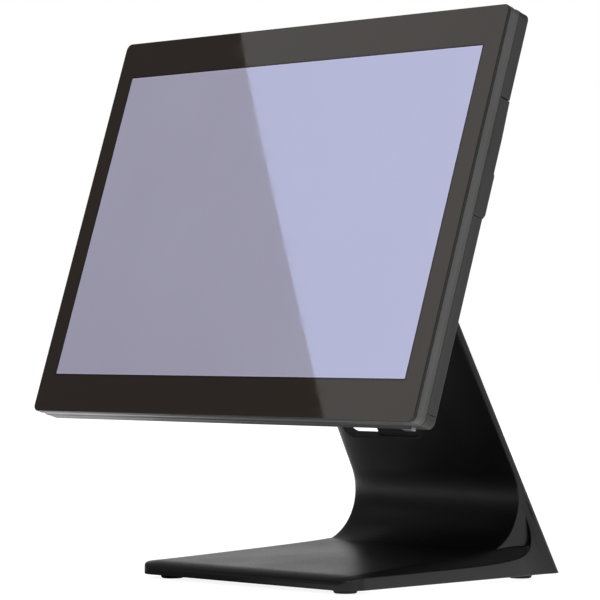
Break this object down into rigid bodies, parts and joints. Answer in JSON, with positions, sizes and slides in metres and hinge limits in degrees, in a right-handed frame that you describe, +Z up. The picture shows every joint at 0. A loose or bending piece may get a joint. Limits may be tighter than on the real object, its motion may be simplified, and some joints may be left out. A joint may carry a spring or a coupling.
{
  "type": "pos touchscreen terminal",
  "caption": "Counter-top sales terminal: a flat glass-fronted touch head on a tilting hinge, carried by a swept black stand with a wedge base and a sloping back.",
  "frame": {"origin": "on the table, under the middle of the whole terminal's box", "axes": "+X to the right as the user faces the screen from -Y, +Z up"},
  "size_m": [0.361, 0.2274, 0.3518],
  "materials": {
    "glass_front": "gloss black print with a clear window",
    "sensor": "clear film",
    "lcd": "smooth",
    "sheet_steel": "plain zinc-plated sheet",
    "black_foam": "matt",
    "frame_plastic": "fine moulded texture",
    "housing_plastic": "fine moulded texture",
    "cover_plastic": "fine moulded texture",
    "circuit_board": "solder mask",
    "chip": "moulded epoxy",
    "processor_lid": "plated",
    "bare_aluminium": "extruded",
    "brass": "turned",
    "plated_shell": "bright tin plate",
    "socket_black": "moulded",
    "speaker_black": "moulded",
    "button_metal": "satin anodised",
    "screw_black": "black oxide",
    "screw_zinc": "zinc plated",
    "bracket_black": "black powder coat",
    "pin_steel": "ground",
    "washer_bronze": "oiled",
    "spring_steel": "tempered",
    "stand_coat": "satin black powder coat on a casting",
    "rear_cover_coat": "satin black",
    "base_steel": "zinc plated",
    "ballast_steel": "raw plate",
    "grommet_rubber": "matt",
    "foot_rubber": "matt"
  },
  "bodies": {
    "stand": {"stand_bracket": "bracket_black", "stand_bracket_screws": "screw_black", "hinge_cover": "cover_plastic", "stand_body": "stand_coat", "rear_cover": "rear_cover_coat", "rear_cover_screws": "screw_black", "base_plate": "base_steel", "base_screws": "screw_zinc", "ballast_plate": "ballast_steel", "cable_grommet": "grommet_rubber", "feet": "foot_rubber"},
    "head": {"front_glass": "glass_front", "touch_sensor": "sensor", "glass_gasket": "black_foam", "lcd_cell": "lcd", "backlight_unit": "sheet_steel", "front_frame": "frame_plastic", "chassis_plate": "sheet_steel", "chassis_screws": "screw_zinc", "mainboard": "circuit_board", "standoffs": "brass", "processor": "processor_lid", "heatsink": "bare_aluminium", "memory_module": "circuit_board", "solid_state_drive": "chip", "wireless_card": "circuit_board", "antennas": "brass", "power_board": "circuit_board", "speakers": "speaker_black", "ethernet_socket": "plated_shell", "usb_sockets": "plated_shell", "display_socket": "plated_shell", "power_socket": "socket_black", "port_plate": "plated_shell", "switch_board": "circuit_board", "rear_housing": "housing_plastic", "side_cover": "cover_plastic", "housing_screws": "screw_black", "hinge_backing": "sheet_steel", "head_bracket": "bracket_black", "head_bracket_screws": "screw_black", "hinge_pins": "pin_steel", "friction_washers": "washer_bronze", "disc_springs": "spring_steel", "lock_nuts": "pin_steel"},
    "power_button": {"power_button": "button_metal"}
  },
  "joints": [
    {"name": "head_tilt", "type": "hinge", "parent": "stand", "child": "head", "pos_m": [0, -0.0301, 0.22111], "axis": [-1, 0, 0], "range_deg": [-13, 57]},
    {"name": "power_button_press", "type": "slide", "parent": "head", "child": "power_button", "axis": [0, 0.309, 0.9511], "range_m": [0, 0.001], "stiffness_N_per_m": 900, "springref_m": -0.0005}
  ]
}
